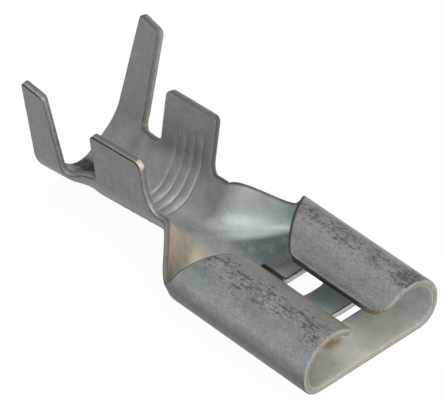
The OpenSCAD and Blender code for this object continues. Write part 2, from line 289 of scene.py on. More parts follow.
neck_stations = [wing_len_out] + spread(wing_len_out, wire_at, 28)
wire_stations = [wire_at] + spread(wire_at, groove_places[0] - size.groove_w / 2, 4)
for place in groove_places:
    wire_stations += [place + size.groove_w / 4 * step for step in (-2, -1, 0, 1, 2)]
wire_stations.remove(groove_places[0] - size.groove_w / 2)
wire_stations += spread(wire_stations[-1], wire_end, 8)
gap_stations = [wire_end] + spread(wire_end, grip_at, 16)
grip_stations = [grip_at] + spread(grip_at, size.strip_len, 13)
print("stations along the strip:", len(floor_stations) + len(neck_stations) + len(wire_stations)
      + len(gap_stations) + len(grip_stations))


# %% [markdown]
# A grid is a list of rows, and a row a list of places on the blank. The strip itself has one grid for each
# stretch, and each wing grows from the strip's edge to its own tip. One rule per kind of wing gives the
# place of a point from its share of that way, so the slant of a tip or of a rear edge is one term in a sum.


# %% Grids of the strip and its wings
def base_spot(at, share):
    """A place on the strip itself, at a share of its half width."""
    return at, share * base_half(at, FAR if share > 0 else NEAR)


def base_grid(stations):
    return [[base_spot(at, share) for at in stations] for share in row_shares]


def mirrored(grid):
    return [[(at, -across) for at, across in row] for row in reversed(grid)]


def wing_grid(stations, rows, spot_of, hand):
    """A wing on one hand of the strip, from its root to its tip."""
    grid = [[spot_of(at, share, hand) for at in stations] for share in [0.0] + spread(0, 1, rows)]
    return grid if hand == FAR else mirrored(grid)


def roll_spot(at, share, hand):
    """A roll's blank, whose rear edge slants."""
    return at * (1 - share * size.wing_slant / wing_len_out), blend(base_half(at, hand), wing_half, share)


def wire_spot(at, share, hand):
    """A wire wing, which is longer at its rear end."""
    tip = wire_half + size.wire_lift * (at - wire_at) / size.wire_len
    return at, blend(base_half(at, hand), tip, share)


def grip_spot(at, share, hand):
    """An insulation wing, which narrows towards its tip at the rear and is shorter at its front."""
    narrow = 1 - share * size.grip_taper / size.grip_len
    tip = grip_half + GRIP_EXTRA - GRIP_SLANT * (size.strip_len - at) / size.grip_len
    return grip_at + (at - grip_at) * narrow, blend(base_half(at, hand), tip, share)


ROLL_ROWS = 44
WIRE_ROWS = 26
GRIP_ROWS = 44
floor_grid = base_grid(floor_stations)
blank_grids = [floor_grid]
for stations in (neck_stations, wire_stations, gap_stations, grip_stations):
    blank_grids.append(base_grid(stations))
for hand in (FAR, NEAR):
    blank_grids += [wing_grid(floor_stations, ROLL_ROWS, roll_spot, hand),
                    wing_grid(wire_stations, WIRE_ROWS, wire_spot, hand),
                    wing_grid(grip_stations, GRIP_ROWS, grip_spot, hand)]
print("grids of the blank:", len(blank_grids))

# %% [markdown]
# The floor has three openings: the cross slot, the window and the relief behind it. A Boolean could punch
# them later, but it leaves long thin faces. Here the quads that lie in an opening are simply not made.

# %% One flat mesh with its openings
MERGE_REACH = 0.0005
floor_openings = [(window_row, slot_order, slot_order + 1), (window_row, window_order, relief_order),
                  (relief_row, relief_order, relief_last)]


def in_opening(row, order):
    return any(middle_row - rows <= row < middle_row + rows and first <= order < last
               for rows, first, last in floor_openings)


sheet = bmesh.new()
for grid in blank_grids:
    spots = [[sheet.verts.new((at, across, 0)) for at, across in row] for row in grid]
    for row in range(len(grid) - 1):
        for order in range(len(grid[0]) - 1):
            if grid is floor_grid and in_opening(row, order):
                continue
            fore, aft = order, order + 1
            corners = [spots[row][aft], spots[row][fore], spots[row + 1][fore], spots[row + 1][aft]]
            sheet.faces.new(corners)
bmesh.ops.remove_doubles(sheet, verts=sheet.verts, dist=MERGE_REACH)
loose = [vert for vert in sheet.verts if not vert.link_faces]
bmesh.ops.delete(sheet, geom=loose, context="VERTS")
print("faces of the flat grids:", len(sheet.faces))

# %% [markdown]
# A stamping die has no perfectly sharp corners. Those that show, outward, inward or at the front of the
# window, are rounded by one rule: the points of a corner's two edges move onto a quarter of an ellipse that
# touches both edges. A Bevel on the corners would add points, and the grids would no longer match. The
# points inside the sheet follow later, by smoothing. Only the flare in front of the wire wings differs from
# side to side, as on the photographed part.

# %% Where the corners are
corner_rounds = [
    (0, wing_half, size.mouth_corner_r, size.mouth_corner_r),
    (wing_len_out - size.wing_slant, wing_half, size.wing_corner_r, size.wing_corner_r),
    (window_at, window_half, size.window_r, size.window_r),
    (wire_at, wire_half, size.wire_corner_r, size.wire_corner_r),
    (wire_end, wire_half + size.wire_lift, size.wire_corner_r, size.wire_corner_r),
    (wire_end, size.gap_half, size.wing_fillet, size.wing_fillet),
    (grip_at, size.gap_half, size.wing_fillet, size.wing_fillet),
    (grip_at, grip_half + GRIP_EXTRA - GRIP_SLANT, size.grip_corner_r, size.grip_corner_r),
    (size.strip_len - size.grip_taper, grip_half + GRIP_EXTRA, size.grip_corner_r, size.grip_corner_r)]
corner_rounds += [(at, -across, along, sideways) for at, across, along, sideways in corner_rounds]
FAR_FLARE = (0.3, 0.55)
corner_rounds += [(wire_at, neck_half[FAR], *FAR_FLARE),
                  (wire_at, -neck_half[NEAR], size.flare_len, size.flare_up)]
print("corners to be rounded:", len(corner_rounds))


# %% Rounding one corner
def next_on_outline(vert, edge):
    """The other end of an outline edge, and the outline edge that goes on from there."""
    ahead = edge.other_vert(vert)
    return ahead, next(other for other in ahead.link_edges if other.is_boundary and other is not edge)


def edge_points(corner, edge, reach):
    """Points of the outline from a corner on, up to a distance, with their distances."""
    points = []
    vert, edge = next_on_outline(corner, edge)
    while (vert.co - corner.co).length < reach:
        points.append((vert, (vert.co - corner.co).length))
        vert, edge = next_on_outline(vert, edge)
    return points


def lies_along(corner, edge):
    way = edge.other_vert(corner).co - corner.co
    return abs(way.x) > abs(way.y)


def round_outline(corner, along_reach, across_reach):
    """Moves the points beside a corner onto a round that starts at the two distances from it."""
    edges = [edge for edge in corner.link_edges if edge.is_boundary]
    along, across = sorted(edges, key=lambda edge: not lies_along(corner, edge))
    along_points = edge_points(corner, along, along_reach)
    across_points = edge_points(corner, across, across_reach)
    along_way = (along_points[0][0].co - corner.co).normalized() * along_reach
    across_way = (across_points[0][0].co - corner.co).normalized() * across_reach
    turns = [(corner, 0.5)]
    turns += [(vert, 0.5 - 0.5 * away / along_reach) for vert, away in along_points]
    turns += [(vert, 0.5 + 0.5 * away / across_reach) for vert, away in across_points]
    start = corner.co.copy()
    for vert, turn in turns:
        angle = math.pi / 2 * turn
        vert.co = start + along_way * (1 - math.sin(angle)) + across_way * (1 - math.cos(angle))


outline = [vert for vert in sheet.verts if vert.is_boundary]
print("points of the outline:", len(outline))

# %% Rounding them all
rounded_places = []
for at, across, along_reach, across_reach in corner_rounds:
    place = Vector((at, across, 0))
    corner = min(outline, key=lambda vert: (vert.co - place).length)
    round_outline(corner, along_reach, across_reach)
    rounded_places.append((place, max(along_reach, across_reach)))
for vert in sheet.verts:
    vert.co.x = mouth_x - vert.co.x
print("rounded corners:", len(rounded_places))

# %% [markdown]
# The blank gets its thickness while it is still flat. Solidify and Bevel could do it, but a bevel slides
# its points along the grid lines and tangles where these run aslant. Here both faces are drawn in by the
# radius of the worn edge. The points near a rounded corner are then smoothed, so the grid is even there.

# %% Drawing the faces in
EDGE_ROUND = 0.05
SMOOTH_ROUNDS = 25
SMOOTH_REACH = 0.4


def inward_way(vert):
    """The way into the sheet from a point of the outline, long enough to keep both its edges parallel."""
    sideways = []
    for edge in vert.link_edges:
        if edge.is_boundary:
            loop = edge.link_loops[0]
            run = (loop.link_loop_next.vert.co - loop.vert.co).normalized()
            sideways.append(Vector((-run.y, run.x, 0)))
    return (sideways[0] + sideways[1]) / (1 + sideways[0].dot(sideways[1]))


inward = {vert: inward_way(vert) for vert in outline}
outline_place = {vert: vert.co.copy() for vert in outline}
for vert, way in inward.items():
    vert.co += way * EDGE_ROUND


def beside_corner(at, across):
    """True near a rounded corner, but not where the serration grooves need straight lines."""
    if abs(at - groove_middle) < GROOVES / 2 * size.groove_pitch:
        return False
    spot = Vector((at, across, 0))
    return any((spot - place).length < reach + SMOOTH_REACH for place, reach in rounded_places)


smoothed = [vert for vert in sheet.verts
            if not vert.is_boundary and beside_corner(mouth_x - vert.co.x, vert.co.y)]
for _ in range(SMOOTH_ROUNDS):
    bmesh.ops.smooth_vert(sheet, verts=smoothed, factor=0.5, use_axis_x=True, use_axis_y=True)
print("smoothed points:", len(smoothed))

# %% [markdown]
# Rings of quads then go round every outline: two rounded edges with the cut face between them. Each of
# these faces carries a number, half for a rounded edge and one for a cut face. The finish reads it later.

# %% Rings round the outline
ROUND_STEPS = 3
ROUNDED = 0.5
CUT = 1.0
half_sheet = SHEET_SEEN / 2
rings = []
for step in range(ROUND_STEPS + 1):
    turn = math.pi / 2 * step / ROUND_STEPS
    rings.append((EDGE_ROUND * (1 - math.sin(turn)), half_sheet - EDGE_ROUND * (1 - math.cos(turn))))
rings += [(inset, -height) for inset, height in reversed(rings)]
print("rings of points round each outline:", len(rings))

# %% Faces, rounded edges and cut faces
solid = bmesh.new()
edge_turn = solid.faces.layers.float.new("edge_turn")
upper = {vert: solid.verts.new(vert.co + Vector((0, 0, half_sheet))) for vert in sheet.verts}
lower = {vert: solid.verts.new(vert.co - Vector((0, 0, half_sheet))) for vert in sheet.verts}
for face in sheet.faces:
    solid.faces.new([upper[vert] for vert in face.verts])
    solid.faces.new([lower[vert] for vert in reversed(face.verts)])
ring_points = []
for order, (inset, height) in enumerate(rings):
    made = {0: upper, len(rings) - 1: lower}.get(order)
    if made is None:
        made = {vert: solid.verts.new(vert.co) for vert in inward}
    for vert, way in inward.items():
        made[vert].co = outline_place[vert] + way * inset + Vector((0, 0, height))
    ring_points.append(made)
for order, (above, below) in enumerate(zip(ring_points, ring_points[1:])):
    for edge in sheet.edges:
        if edge.is_boundary:
            loop = edge.link_loops[0]
            first, second = loop.vert, loop.link_loop_next.vert
            face = solid.faces.new([above[first], below[first], below[second], above[second]])
            face[edge_turn] = CUT if order == ROUND_STEPS else ROUNDED
solid.normal_update()
LEVEL = 0.9
tangled = [face for face in solid.faces if face[edge_turn] == 0 and abs(face.normal.z) < LEVEL]
print("tangled faces of the flat blank:", len(tangled))


# %% The blank as an object
def add_object(name, data):
    """A new object in the scene."""
    made = bpy.data.objects.new(name, data)
    bpy.context.scene.collection.objects.link(made)
    return made


bmesh.ops.scale(solid, vec=(MM, MM, MM), verts=solid.verts)
blank_mesh = bpy.data.meshes.new("blank")
solid.to_mesh(blank_mesh)
solid.free()
sheet.free()
blank = add_object("blank", blank_mesh)
print("blank faces:", len(blank_mesh.polygons))

# %% [markdown]
# Folding follows a rule, so it is a Geometry Nodes tree. A point of the blank keeps its distance from the
# mouth and its distance across the strip. The section at that place, a chain of arcs and straight runs,
# says where the distance across ends up. The point's height above the middle of the sheet then goes along
# the folded sheet's normal, so the sheet keeps its thickness round every bend.


# %% The rule of the fold
class Section:
    """The sheet's middle line across the strip, walked from the centre outwards."""

    def __init__(self, across, flat):
        self.across = across
        self.start = flat
        self.side = smaller(across, flat)
        self.up = across * 0.0
        self.heading = across * 0.0

    def arc(self, radius, turn, hand=1):
        swept = part_of((self.across - self.start) / (radius * turn)) * turn * hand
        bent = self.heading + swept
        self.side = self.side + (sine(bent) - sine(self.heading)) * radius * hand
        self.up = self.up + (cosine(self.heading) - cosine(bent)) * radius * hand
        self.heading = bent
        self.start = self.start + radius * turn

    def straight(self, length=None):
        run = larger(self.across - self.start, 0.0)
        if length is not None:
            run = smaller(run, length)
            self.start = self.start + length
        self.side = self.side + cosine(self.heading) * run
        self.up = self.up + sine(self.heading) * run


print("a section is made of:", [name for name in vars(Section) if not name.startswith("_")])


# %% The detent and the grooves
GROOVE_FADE = 0.4


def detent(fold, at, across):
    """Height of the raised bump on the bar between the slot and the window."""
    along = (at - fold.detent_at) / fold.detent_long
    sideways = across / fold.detent_wide
    spread_out = along * along + sideways * sideways
    away = smaller(spread_out.math("SQRT", spread_out), 1.0)
    wave = cosine(away * (math.pi / 2))
    return wave * wave * fold.detent_h


def groove(fold, at, across):
    """Depth of the serrations across the wire barrel, which end below the tips of its wings."""
    depth = at * 0.0
    for order in groove_orders:
        middle = fold.groove_middle + fold.groove_pitch * order
        away = (at - middle).math("ABSOLUTE", at - middle)
        depth = depth + larger(1.0 - away / (fold.groove_w / 2.0), 0.0)
    fade = 1.0 - ease(fold.groove_half - GROOVE_FADE * MM, fold.groove_half, across)
    return depth * fade * fold.groove_depth


print("grooves across the wire barrel:", len(groove_orders))


# %% [markdown]
# The section is a blend of three: the receptacle's, the wire barrel's and the insulation barrel's. Each one
# has the same chain, a flat, a bend, a straight side, a second bend and a last curl, with its own sizes, so
# a blend of the sizes is again a section. Along the neck the floor rises a little, and behind it the strip
# falls again at a slight slope.


# %% The section along the strip
def section_at(fold, at, across):
    """Sideways place, height and heading of the sheet's middle."""
    neck = ease(fold.neck_from, fold.neck_to, at)
    rear = ease(fold.gap_from, fold.gap_to, at)
    opened = ease(fold.open_from, fold.open_to, at)
    funnel = opened * (1.0 - ease(fold.close_from, fold.close_to, at))

    def three(receptacle, wire, grip):
        return blend(blend(receptacle, wire, neck), grip, rear)

    line = Section(across, three(fold.floor_half, fold.wire_flat, fold.grip_flat))
    line.arc(three(fold.low_bend_r, fold.wire_r, fold.grip_r),
             blend(blend(fold.low_bend, fold.wire_slope, opened), fold.grip_slope, rear))
    line.straight(three(0.0, fold.wire_side, fold.grip_side) + fold.funnel_side * funnel)
    line.arc(three(fold.roll_r, fold.wire_bend_r, fold.grip_bend_r),
             three(fold.roll_turn, fold.wire_turn, fold.grip_turn))
    line.arc(fold.foot_r, three(fold.curl, fold.no_curl, fold.no_curl), hand=-1)
    line.straight()
    past = at - fold.neck_to
    bend = part_of(past / fold.tail_bend)
    fall = bend * bend * fold.tail_bend * 0.5 + larger(past - fold.tail_bend, 0.0)
    level = fold.floor_up + neck * fold.neck_rise - fall * fold.tail_slope
    return line.side, line.up + level + detent(fold, at, across), line.heading


print("the section changes at the neck from, to in mm:", round(neck_from, 2), round(neck_to, 2))

# %% [markdown]
# Behind the notch the sheet is free of the rolls and its sides spring open a little, like a funnel. The
# slope of the sides therefore changes sooner than the rest of the section, and they run straight up to the
# edge. All sizes go into the tree by name, so that another size of terminal needs no other tree.

# %% Named sizes of the fold
OPEN_FROM = neck_from - 0.2
OPEN_TO = wing_len_out + 0.6
CLOSE_FROM = neck_to - 0.85
CLOSE_TO = neck_to + 0.15
FUNNEL_SIDE = 0.8
NEARLY_STRAIGHT = 0.01
fold_lengths = dict(
    sheet_t=SHEET_SEEN, mouth_x=mouth_x, floor_half=floor_half, low_bend_r=size.low_bend_r, roll_r=roll_r,
    foot_r=size.foot_r, neck_from=neck_from, neck_to=neck_to, neck_rise=size.neck_rise, floor_up=floor_up,
    open_from=OPEN_FROM, open_to=OPEN_TO, close_from=CLOSE_FROM, close_to=CLOSE_TO, funnel_side=FUNNEL_SIDE,
    tail_bend=size.tail_bend, wire_flat=size.wire_flat, wire_r=size.wire_r, wire_side=size.wire_side,
    wire_bend_r=size.wire_bend_r, gap_from=wire_end + size.gap_rest, gap_to=grip_at + size.grip_lead,
    grip_flat=size.grip_flat, grip_r=size.grip_r, grip_side=size.grip_side, grip_bend_r=size.grip_bend_r,
    detent_at=(slot_at + size.slot_w + window_at) / 2, detent_long=size.detent_long,
    detent_wide=size.detent_wide, detent_h=size.detent_h, groove_middle=groove_middle,
    groove_pitch=size.groove_pitch, groove_w=size.groove_w, groove_depth=size.groove_depth,
    groove_half=wire_half - size.groove_stop)
fold_degrees = dict(
    low_bend=size.low_bend_deg, roll_turn=roll_deg, curl=size.curl_deg, no_curl=NEARLY_STRAIGHT,
    wire_slope=size.wire_slope, wire_turn=90 - size.wire_lean - size.wire_slope,
    grip_slope=size.grip_slope, grip_turn=90 - size.grip_lean - size.grip_slope)
fold_sizes = {name: value * MM for name, value in fold_lengths.items()}
fold_sizes.update({name: math.radians(value) for name, value in fold_degrees.items()})
fold_sizes["tail_slope"] = tail_slope
print("named sizes of the fold:", len(fold_sizes))

# %% [markdown]
# The tree needs two materials: the plated faces and the sheared edges, where the cut shows the brass.
# The number that each face of the blank carries tells them apart.

# %% Empty materials, filled in further down
plated = bpy.data.materials.new("plated_brass")
sheared = bpy.data.materials.new("sheared_brass")
plate = empty_tree(plated)
shear = empty_tree(sheared)
print("materials:", plated.name, sheared.name)

# %% [markdown]
# A modifier such as Simple Deform bends a sheet once, about one axis. This sheet bends several times, by
# amounts that change along it, so the tree works out each point's new place. Its inputs are the sizes.

# %% Inputs of the folding tree
fold_tree = bpy.data.node_groups.new("fold the blank", "GeometryNodeTree")
fold_tree.interface.new_socket("Geometry", in_out="INPUT", socket_type="NodeSocketGeometry")
fold_tree.interface.new_socket("Geometry", in_out="OUTPUT", socket_type="NodeSocketGeometry")
fold_sockets = {}
for name in fold_sizes:
    fold_sockets[name] = fold_tree.interface.new_socket(
        name, in_out="INPUT", socket_type="NodeSocketFloat")
board = Wire(fold_tree)
group_in = fold_tree.nodes.new("NodeGroupInput")
fold = SimpleNamespace(**{name: Wire(fold_tree, group_in.outputs[name]) for name in fold_sizes})

flat_place = board.node("GeometryNodeInputPosition")
flat_x, flat_y, height = board.split(flat_place)
at = fold.mouth_x - flat_x
across = board.math("ABSOLUTE", flat_y)
flat_sign = board.math("SIGN", flat_y)
print("inputs of the folding tree:", len(fold_sockets))

# %% [markdown]
# The sheet's normal follows from how the section turns and how it drifts along the strip. The drift is
# found by asking for the section a small step ahead and a small step behind. The grooves press the inner
# face in, and show on the outer face only a little.

# %% Where a point of the sheet goes
STEP = 0.01 * MM
side, up, heading = section_at(fold, at, across)
side_fore, up_fore, _ = section_at(fold, at - STEP, across)
side_aft, up_aft, _ = section_at(fold, at + STEP, across)
drift_side = (side_aft - side_fore) / (2 * STEP)
drift_up = (up_aft - up_fore) / (2 * STEP)
bump_slope = (detent(fold, at, across + STEP) - detent(fold, at, across - STEP)) / (2 * STEP)
turn = heading + board.math("ARCTANGENT", bump_slope)
lean = cosine(turn) * drift_up - sine(turn) * drift_side
long_normal = board.math("SQRT", lean * lean + 1.0)

half_t = fold.sheet_t / 2.0
inside = part_of(height / half_t)
outside = part_of(height / half_t * -1.0)
pressed = groove(fold, at, across)
BACK_SHARE = 0.2
reach = (height - pressed * inside - pressed * outside * BACK_SHARE) / long_normal
folded_place = board.node("ShaderNodeCombineXYZ", inputs={
    0: fold.mouth_x - at + lean * reach,
    1: flat_sign * (side - sine(turn) * reach),
    2: half_t + up + cosine(turn) * reach})
print("share of a groove that shows on the outer face:", BACK_SHARE)

# %% Last nodes of the folding tree
flat_sheet = Wire(fold_tree, group_in.outputs["Geometry"])
spotted = board.node("GeometryNodeStoreNamedAttribute", {"data_type": "FLOAT_VECTOR", "domain": "POINT"},
                     {"Geometry": flat_sheet, "Name": "blank_place", "Value": flat_place})
bent = board.node("GeometryNodeSetPosition", inputs={"Geometry": spotted, "Position": folded_place})
whole = board.node("GeometryNodeRealizeInstances", inputs={"Geometry": bent})
coated = board.node("GeometryNodeSetMaterial", inputs={"Geometry": whole, "Material": plated})
turned_edge = board.node("GeometryNodeInputNamedAttribute", {"data_type": "FLOAT"},
                         {"Name": "edge_turn"})
cut_faces = board.node("FunctionNodeCompare", {"data_type": "FLOAT", "operation": "GREATER_THAN"},
                       {0: turned_edge, 1: (ROUNDED + CUT) / 2})
finished = board.node("GeometryNodeSetMaterial",
                      inputs={"Geometry": coated, "Selection": cut_faces, "Material": sheared})
group_out = fold_tree.nodes.new("NodeGroupOutput")
fold_tree.links.new(finished.socket, group_out.inputs["Geometry"])
print("nodes in the folding tree:", len(fold_tree.nodes))

# %% [markdown]
# The modifier folds the blank. Its result is copied to a plain mesh, because the finish needs the folded
# points themselves. Faces that meet almost flat are shaded smooth across their edge, and only the square
# corners of the outline stay sharp.

# %% Fold the blank and keep the result as a plain mesh
SHARP_FROM = 45
folding = blank.modifiers.new("fold", "NODES")
folding.node_group = fold_tree
for name, value in fold_sizes.items():
    folding[fold_sockets[name].identifier] = value
evaluated = blank.evaluated_get(bpy.context.evaluated_depsgraph_get())
terminal_mesh = bpy.data.meshes.new_from_object(evaluated)
terminal_mesh.name = "terminal_sheet"
bpy.data.objects.remove(blank)
terminal = add_object("terminal_sheet", terminal_mesh)
terminal_mesh.shade_smooth()
terminal_mesh.set_sharp_from_angle(angle=math.radians(SHARP_FROM))
print("folded sheet:", len(terminal_mesh.vertices), "points,", len(terminal_mesh.polygons), "faces")

# %% [markdown]
# The finish. The strip is plated before it is stamped, so its faces are dull tin and its cut edges are bare
# brass. A picture of the metal would be the quick way, but it would only fit one part and one view. Here
# every mark is a rule on the flat blank, so it follows the sheet round the bends as the real marks do: they
# were made by the rolling mill and the press, while the sheet passed under them.


# %% Helpers for patterns
def blank_place(board):
    """The vector of a point on the flat blank, kept from before the fold."""
    return board.node("ShaderNodeAttribute", {"attribute_name": "blank_place"}, output=1)


def blank_mm(board, place):
    """A place on the blank in mm: from the mouth, to the far side, from the middle line, from mid-sheet."""
    x, y, z = board.split(place)
    side = y / MM
    return mouth_x - x / MM, side, board.math("ABSOLUTE", side), z / MM


def stretched(board, place, along, across):
    """The place with its axes scaled, so that a pattern on it is drawn out where the factor is small."""
    factors = (along, across, 1.0)
    return board.node("ShaderNodeVectorMath", {"operation": "MULTIPLY"}, {0: place, 1: factors})


def cloudy(board, place, features_per_mm, seed, detail=3.0, rough=0.55):
    """Soft noise around 0.5, with a fixed seed."""
    inputs = {"Vector": place, "W": seed, "Scale": features_per_mm / MM, "Detail": detail,
              "Roughness": rough}
    return board.node("ShaderNodeTexNoise", {"noise_dimensions": "4D"}, inputs)


print("a point keeps its place on the flat blank as: blank_place")


# %% Helpers for masks and colours
def rising(value, low, high):
    """0 up to low and 1 from high on."""
    return part_of((value - low) / (high - low))


def near_line(value, line, half, soft):
    """1 within half of the line, and 0 further away than half plus soft."""
    away = value.math("ABSOLUTE", value - line)
    return 1.0 - rising(away, half, half + soft)


def mixed(board, part, first, second):
    """A colour between two colours."""
    return board.node("ShaderNodeMix", {"data_type": "RGBA"}, {0: part, 6: first, 7: second}, output=2)


def scaled(board, colour, factor):
    """A colour made brighter or darker by a factor."""
    return board.node("ShaderNodeVectorMath", {"operation": "SCALE"}, {0: colour, "Scale": factor})


def within(value, span, soft):
    """1 inside a span of values, fading out over the soft length on either side."""
    return rising(value, span[0] - soft, span[0]) * (1.0 - rising(value, span[1], span[1] + soft))


def grey(level):
    return (level, level, level, 1.0)


def along_ramp(board, share, stops):
    """A level that changes along the strip, from pairs of a place in mm and a level below 2."""
    halves = [(place / size.strip_len, (level / 2, level / 2, level / 2)) for place, level in stops]
    return board.node("ShaderNodeValToRGB", {"stops": halves}, {0: share}) * 2.0


def finish_with(board, shader, kind="ShaderNodeOutputMaterial"):
    output = board.tree.nodes.new(kind)
    board.tree.links.new(shader.socket, output.inputs["Surface"])


print("a middle grey:", grey(0.5))

# %% [markdown]
# Tin plate is a dull grey with soft clouds of bluish and brownish tint where its layer is thicker or
# thinner. Three layers of noise give clouds, mottling and grain. Two tints are blended in by a fourth, and
# a fifth is a fine speckle, which only makes the tin a little brighter or darker.

# %% Tin clouds and tints
plate_place = blank_place(plate)
clouds = cloudy(plate, plate_place, 0.8, seed=2.0)
mottling = cloudy(plate, plate_place, 3.2, seed=5.0, detail=4.0)
grain = cloudy(plate, stretched(plate, plate_place, 0.6, 1.0), 11.0, seed=9.0, detail=2.0)
tint = cloudy(plate, plate_place, 1.7, seed=14.0)
TIN_DEEP = (0.205, 0.218, 0.212, 1.0)
TIN_PALE = (0.335, 0.337, 0.322, 1.0)
TIN_LILAC = (0.285, 0.262, 0.265, 1.0)
TIN_SEA = (0.235, 0.278, 0.272, 1.0)
tone = rising(clouds * 0.45 + mottling * 0.35 + grain * 0.2, 0.36, 0.64)
tin = mixed(plate, tone, TIN_DEEP, TIN_PALE)
tin = mixed(plate, rising(tint, 0.52, 0.68) * 0.7, tin, TIN_LILAC)
tin = mixed(plate, rising(1.0 - tint, 0.52, 0.68) * 0.7, tin, TIN_SEA)
speckle = cloudy(plate, plate_place, 17.0, seed=71.0, detail=2.0, rough=0.7)
tin_noises = [clouds, mottling, grain, tint, speckle]
print("layers of noise in the tin:", len(tin_noises))

# %% [markdown]
# The inner face of the folds is made brighter, most of all at the mouth and on the floor of the wire
# barrel: painted light for what bounces inside the folds and comes in at the mouth. Inside the insulation
# barrel it is darker, as painted shade. The outer face is made darker round the barrels and in the low bend
# under the rolls, as painted shade where these turn away from the light. On the neck's far side, beyond a
# slanting line, a painted sheen stands in for the mirror image of the lamps. The factor is a sum of masks
# on the flat blank.

# %% Places on the plated blank, in mm
along_mm, side_mm, across_mm, height_mm = blank_mm(plate, plate_place)
face_height = height_mm / half_sheet
inner_face = rising(face_height, 0.2, 0.6)
outer_face = rising(face_height * -1.0, 0.2, 0.6)
print("the sheet's faces lie this far from its middle, in mm:", half_sheet)

# %% Painted light and shade on the faces
INNER_LIGHT_STOPS = [(0.0, 1.95), (1.8, 1.9), (2.6, 1.6), (4.4, 1.4), (7.0, 1.1), (9.0, 1.15), (11.0, 1.1),
               (14.0, 1.05), (14.8, 0.85), (17.6, 0.8)]
BARREL_FLOOR_PAINTED_LIGHT = 0.45
PAINTED_SHEEN_GAIN = 0.7
BARREL_PAINTED_SHADE = 0.34
LOW_BEND_PAINTED_SHADE = 0.55
UNDER_BARREL_PAINTED_SHADE = 0.3
SHEEN_SLANT = 0.55
# Painted light on the inner face, brightest at the mouth, and painted shade inside the insulation barrel.
inner_painted_light = along_ramp(plate, along_mm / size.strip_len, INNER_LIGHT_STOPS)
barrel_floor = rising(along_mm, neck_to, neck_to + 1.0) * (1.0 - rising(across_mm, 1.6, 3.0))
on_barrels = rising(along_mm, neck_to - 0.5, neck_to + 0.5)
in_low_bend = within(across_mm, (3.2, 4.2), 0.6) * (1.0 - on_barrels)
under_barrels = on_barrels * (1.0 - rising(across_mm, 1.2, 2.4))
slant_mm = along_mm + side_mm * SHEEN_SLANT
# Painted sheen on the far side of the neck, beyond a slanting line.
painted_sheen = rising(slant_mm, 9.1, 9.5) * (1.0 - rising(slant_mm, 9.9, 11.6))
painted_sheen = painted_sheen * rising(side_mm, 0.2, 1.0) * (1.0 - rising(along_mm, 8.4, 9.8) * 0.8)
inner_painted_light = inner_painted_light + barrel_floor * BARREL_FLOOR_PAINTED_LIGHT + painted_sheen * PAINTED_SHEEN_GAIN
# Painted shade on the outer face round the barrels, in the low bend and under the barrels.
outer_painted_shade = 1.0 - on_barrels * BARREL_PAINTED_SHADE - in_low_bend * LOW_BEND_PAINTED_SHADE
outer_painted_shade = outer_painted_shade - under_barrels * UNDER_BARREL_PAINTED_SHADE
brightness = inner_face * inner_painted_light + (1.0 - inner_face) * outer_painted_shade
SPECKLE_OUTSIDE = 1.3
SPECKLE_INSIDE = 0.5
speckle_gain = blend(SPECKLE_OUTSIDE, SPECKLE_INSIDE, inner_face)
brightness = brightness * (1.0 + (speckle - 0.5) * speckle_gain)
tin = scaled(plate, tin, brightness)
print("brightness of the inner face, from the mouth:", INNER_LIGHT_STOPS)

# %% [markdown]
# Soft patches of colour lie on one face each: brown and tan films in and on the rolls and on the lip, a
# teal tint on the bar and a brown patch on the lip under the near roll. Some patches are painted light and
# shade instead: the teal patch behind the far roll is a painted shadow, the cool patch beside it a painted
# sheen, the tan patch on the near side of the neck a painted warm reflection, and the near-black patch
# inside the insulation barrel painted shade. The tan film on the lip also paints light onto it. Each row
# gives where the patch lies along and across the strip, how soft its border is, its colour and how strongly
# it covers the tin. Painting each by hand would need an image. A row of a list is enough here, and noise
# breaks up the borders.

# %% Stains
patch_border_noise = cloudy(plate, plate_place, 1.6, seed=61.0, detail=4.0, rough=0.65)
shadow_side_of_sheen = inner_face * (1.0 - rising(slant_mm, 9.0, 9.4))
# Painted light and shade among these rows: a shadow behind the far roll, a sheen beside it, a warm
# reflection on the neck's near side, shade inside the insulation barrel and light on the lip.
stains_and_painted_light = [
    ("painted teal shadow behind the far roll", shadow_side_of_sheen, (6.4, 9.2), (0.8, 3.6), 0.5,
     (0.1, 0.14, 0.142, 1.0), 0.75),
    ("painted cool sheen beside the far roll", inner_face * painted_sheen, (7.4, 11.0), (0.2, 4.0), 0.4,
     (0.62, 0.74, 0.74, 1.0), 0.6),
    ("teal tint on the bar", inner_face, (2.9, 4.6), (0.2, 2.2), 0.4, (0.27, 0.37, 0.38, 1.0), 0.7),
    ("painted warm reflection on the near side of the neck", inner_face, (8.4, 10.6), (-3.2, -1.2), 0.9,
     (0.68, 0.59, 0.46, 1.0), 0.7),
    ("painted shade inside the insulation barrel", inner_face, (14.6, 17.5), (-1.5, 0.2), 0.4,
     (0.05, 0.042, 0.03, 1.0), 1.0),
    ("tan film and painted light on the lip", inner_face, (-0.2, 1.9), (-2.6, 2.6), 0.4, (0.74, 0.71, 0.6, 1.0), 0.5),
    ("brown on the lip under the near roll", inner_face, (1.45, 1.7), (-0.95, -0.35), 0.3,
     (0.3, 0.2, 0.09, 1.0), 0.85),
    ("tan film on the far roll", outer_face, (-0.2, 8.4), (5.7, 6.3), 0.5,
     (0.35, 0.33, 0.28, 1.0), 0.45),
    ("tan film on the near roll", outer_face, (-0.2, 8.4), (-7.4, -6.4), 0.4,
     (0.31, 0.292, 0.245, 1.0), 0.45),
    ("brown in the far roll", inner_face, (-0.2, 1.6), (wing_half - 1.6, wing_half), 0.4,
     (0.2, 0.13, 0.065, 1.0), 0.8),
    ("brown in the near roll", inner_face, (-0.2, 2.4), (-wing_half, 2.2 - wing_half), 0.4,
     (0.2, 0.13, 0.065, 1.0), 0.8)]
